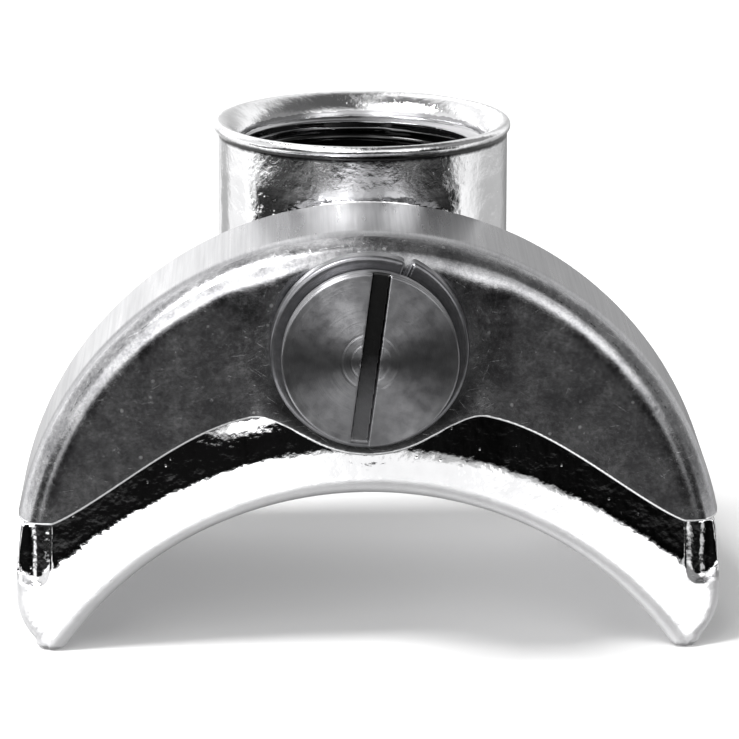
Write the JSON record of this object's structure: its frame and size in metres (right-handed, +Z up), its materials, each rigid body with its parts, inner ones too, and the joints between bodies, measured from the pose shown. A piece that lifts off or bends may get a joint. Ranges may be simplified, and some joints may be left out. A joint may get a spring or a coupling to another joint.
{
  "type": "arched double spout",
  "caption": "Chromed arched double spout with a threaded collar and a removable steel crescent cover held by a slotted screw and spring washer.",
  "frame": {"origin": "on the floor, in the middle of the whole assembly's box", "axes": "+X across the arch to the viewer's right, +Y from the cover to the collar, +Z up along the collar's bore"},
  "size_m": [0.0468, 0.037, 0.0316],
  "materials": {
    "chromed_brass": "bright chrome plate over a cast surface with a fine orange-peel texture",
    "cover_steel": "polished dark front with fine scratches, rim brushed from front to back",
    "washer_steel": "plain drawn spring wire",
    "screw_steel": "turned, with fine rings on the face"
  },
  "bodies": {
    "body": {"spout_body": "chromed_brass"},
    "cover": {"crescent_cover": "cover_steel", "spring_washer": "washer_steel"},
    "screw": {"cover_screw": "screw_steel"}
  },
  "joints": [
    {"name": "cover_slide", "type": "slide", "parent": "body", "child": "cover", "axis": [0, -1, 0], "range_m": [0, 0.008]},
    {"name": "screw_turn", "type": "hinge", "parent": "cover", "child": "screw", "pos_m": [0, -0.012, 0.02095], "axis": [0, -1, 0], "range_deg": [0, 3601]}
  ],
  "couplings": [
    {"joint": "screw_turn", "follows": "cover_slide", "rad_per_m": 7854}
  ]
}
